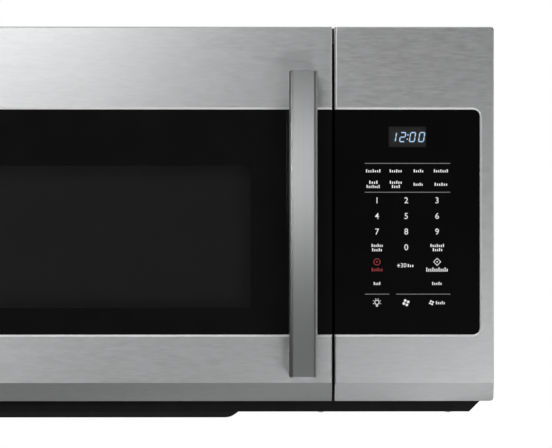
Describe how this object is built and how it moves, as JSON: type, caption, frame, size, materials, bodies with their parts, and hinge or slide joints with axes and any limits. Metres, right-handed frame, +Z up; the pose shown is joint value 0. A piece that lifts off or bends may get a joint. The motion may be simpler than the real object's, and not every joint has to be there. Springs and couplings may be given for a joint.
{
  "type": "over the range microwave",
  "caption": "Over-the-range microwave oven with a side-hinged glass door, bar handle, touch panel, turntable, vent blower and under-side filters, hung on a wall plate.",
  "frame": {"origin": "centre of the wall plate's wall side, on the centre line between the case's two ends", "axes": "+X to the right as the cook sees it, +Y back into the wall, +Z up"},
  "size_m": [0.759, 0.437, 0.416],
  "materials": {
    "stainless": "brushed along its length",
    "handle_steel": "brushed",
    "black_glass": "polished, opaque black backing",
    "clear_glass": "clear",
    "black_paint": "satin black paint",
    "black_plastic": "moulded",
    "galvanised": "zinc coated sheet",
    "cavity_enamel": "speckled grey enamel",
    "screen_steel": "perforated, painted black",
    "aluminium": "mill finish",
    "white_plastic": "moulded",
    "iron_core": "varnished laminations",
    "circuit_board": "green board",
    "mica": "mica sheet",
    "charcoal": "carbon pellets in a plastic grid",
    "lamp_lens": "frosted",
    "spring_steel": "drawn"
  },
  "bodies": {
    "root": {"hinge_upper": "galvanised", "hinge_lower": "galvanised", "panel_skin": "stainless", "panel_glass": "black_glass", "panel_housing": "black_plastic", "control_board": "circuit_board", "display_module": "black_plastic", "front_plate": "black_paint", "case_wrap": "black_paint", "cord_gland": "black_plastic", "back_panel": "galvanised", "wall_plate": "galvanised", "base_pan": "black_paint", "vent_grille": "black_plastic", "charcoal_filter": "charcoal", "cavity": "cavity_enamel", "waveguide": "galvanised", "waveguide_cover": "mica", "magnetron": "aluminium", "hv_transformer": "iron_core", "hv_capacitor": "aluminium", "hv_diode": "black_plastic", "noise_filter": "circuit_board", "fan_shroud": "black_plastic", "fan_motor": "iron_core", "turntable_motor": "galvanised", "blower_housing": "galvanised", "blower_motor": "galvanised", "cavity_lamp": "white_plastic", "cooktop_lamp": "aluminium", "cooktop_lens": "lamp_lens", "latch_body": "white_plastic", "interlock_switch_upper": "black_plastic", "interlock_switch_lower": "black_plastic"},
    "door": {"door_skin": "stainless", "door_glass": "black_glass", "door_tray": "black_paint", "choke_cover": "black_plastic", "window_screen": "screen_steel", "inner_window": "clear_glass", "handle_bar": "handle_steel", "handle_post_upper": "handle_steel", "handle_post_lower": "handle_steel", "latch_spring": "spring_steel"},
    "latch_key": {"latch_key": "white_plastic"},
    "cooling_fan": {"fan_blade": "white_plastic"},
    "blower_rotor": {"blower_shaft": "spring_steel", "blower_wheel_left": "aluminium", "blower_wheel_right": "aluminium"},
    "turntable_drive": {"drive_coupler": "white_plastic"},
    "tray": {"glass_tray": "clear_glass"},
    "roller_ring": {"roller_ring": "white_plastic"},
    "roller_1": {"roller_1": "white_plastic"},
    "roller_2": {"roller_2": "white_plastic"},
    "roller_3": {"roller_3": "white_plastic"},
    "filter_left": {"grease_filter_left": "aluminium"},
    "filter_right": {"grease_filter_right": "aluminium"},
    "plunger_upper": {"switch_plunger_upper": "white_plastic"},
    "plunger_lower": {"switch_plunger_lower": "white_plastic"}
  },
  "joints": [
    {"name": "door_hinge", "type": "hinge", "parent": "root", "child": "door", "pos_m": [-0.3715, -0.363, 0], "axis": [0, 0, -1], "range_deg": [0, 110]},
    {"name": "latch_key_slide", "type": "slide", "parent": "door", "child": "latch_key", "axis": [0, 0, 1], "range_m": [0, 0.004], "stiffness_N_per_m": 150, "springref_m": -0.01, "deforming": ["latch_spring"]},
    {"name": "cooling_fan_spin", "type": "hinge", "parent": "root", "child": "cooling_fan", "pos_m": [0.275, -0.095, 0.015], "axis": [0, 1, 0], "continuous": true},
    {"name": "blower_spin", "type": "hinge", "parent": "root", "child": "blower_rotor", "pos_m": [-0.088, -0.078, 0.157], "axis": [1, 0, 0], "continuous": true},
    {"name": "turntable_spin", "type": "hinge", "parent": "root", "child": "turntable_drive", "pos_m": [-0.088, -0.18235, 0], "axis": [0, 0, 1], "continuous": true},
    {"name": "tray_lift", "type": "slide", "parent": "turntable_drive", "child": "tray", "axis": [0, 0, 1], "range_m": [0, 0.03]},
    {"name": "roller_ring_spin", "type": "hinge", "parent": "root", "child": "roller_ring", "pos_m": [-0.088, -0.18235, 0], "axis": [0, 0, 1], "continuous": true},
    {"name": "roller_1_spin", "type": "hinge", "parent": "roller_ring", "child": "roller_1", "pos_m": [-0.088, -0.05735, -0.1317], "axis": [0, 1, 0], "continuous": true},
    {"name": "roller_2_spin", "type": "hinge", "parent": "roller_ring", "child": "roller_2", "pos_m": [-0.19625, -0.24485, -0.1317], "axis": [-0.866, -0.5, 0], "continuous": true},
    {"name": "roller_3_spin", "type": "hinge", "parent": "roller_ring", "child": "roller_3", "pos_m": [0.02025, -0.24485, -0.1317], "axis": [0.866, -0.5, 0], "continuous": true},
    {"name": "filter_left_slide", "type": "slide", "parent": "root", "child": "filter_left", "axis": [0, 1, 0], "range_m": [0, 0.01]},
    {"name": "filter_right_slide", "type": "slide", "parent": "root", "child": "filter_right", "axis": [0, 1, 0], "range_m": [0, 0.01]},
    {"name": "plunger_upper_press", "type": "slide", "parent": "root", "child": "plunger_upper", "axis": [0, 1, 0], "range_m": [0, 0.0015], "stiffness_N_per_m": 300, "springref_m": -0.002},
    {"name": "plunger_lower_press", "type": "slide", "parent": "root", "child": "plunger_lower", "axis": [0, 1, 0], "range_m": [0, 0.0015], "stiffness_N_per_m": 300, "springref_m": -0.002}
  ],
  "couplings": [
    {"joint": "roller_ring_spin", "follows": "turntable_spin", "ratio": 0.5},
    {"joint": "roller_1_spin", "follows": "turntable_spin", "ratio": -7.8125},
    {"joint": "roller_2_spin", "follows": "turntable_spin", "ratio": -7.8125},
    {"joint": "roller_3_spin", "follows": "turntable_spin", "ratio": -7.8125}
  ]
}
